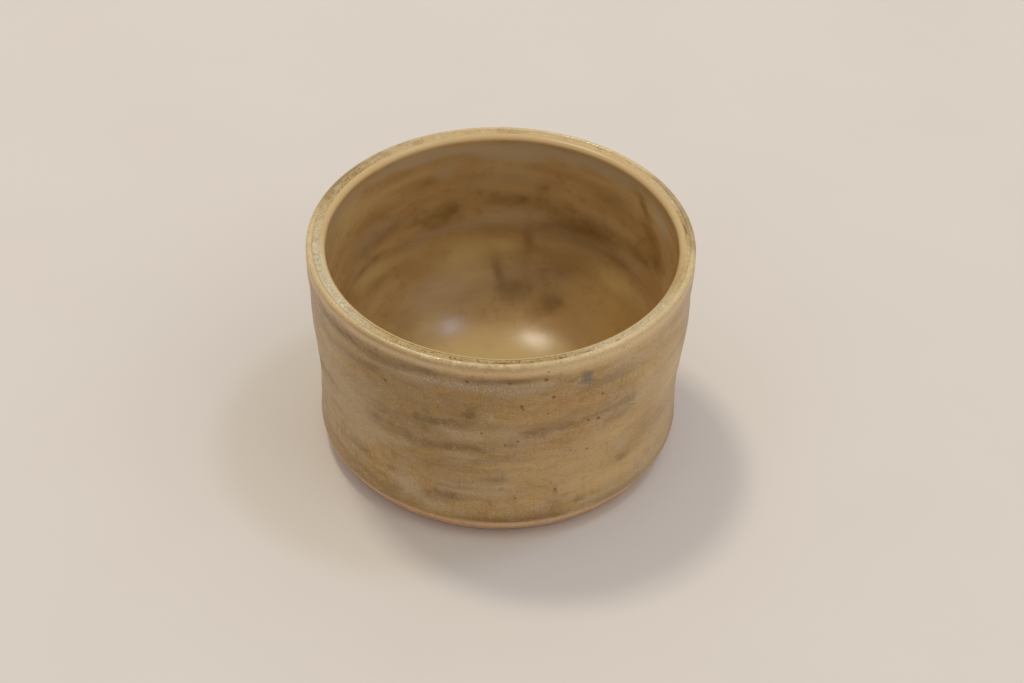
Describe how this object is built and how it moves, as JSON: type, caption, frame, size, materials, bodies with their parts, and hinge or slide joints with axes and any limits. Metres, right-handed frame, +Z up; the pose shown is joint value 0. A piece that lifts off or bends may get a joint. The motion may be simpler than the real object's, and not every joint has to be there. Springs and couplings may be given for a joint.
{
  "type": "espresso cup",
  "caption": "Small handle-less thrown stoneware cup with a straight wall, channelled rim, rounded inner bowl and bare trimmed foot ring, glazed in ochre-brown; holds an espresso.",
  "frame": {"origin": "on the table, under the middle of the foot ring", "axes": "+Z up along the wheel's axis, from the foot to the rim"},
  "size_m": [0.0664, 0.0664, 0.0407],
  "materials": {
    "stoneware": "bare fired clay, matt, pinkish tan",
    "inner_glaze": "glossy brown-ochre liner glaze",
    "outer_glaze": "satin ochre-tan ash glaze with grey and dark streaks",
    "rim_glaze": "grey-green crystalline glaze, satin"
  },
  "bodies": {
    "root": {"clay_body": "stoneware", "inner_glaze": "inner_glaze", "outer_glaze": "outer_glaze", "rim_glaze": "rim_glaze"}
  },
  "joints": []
}
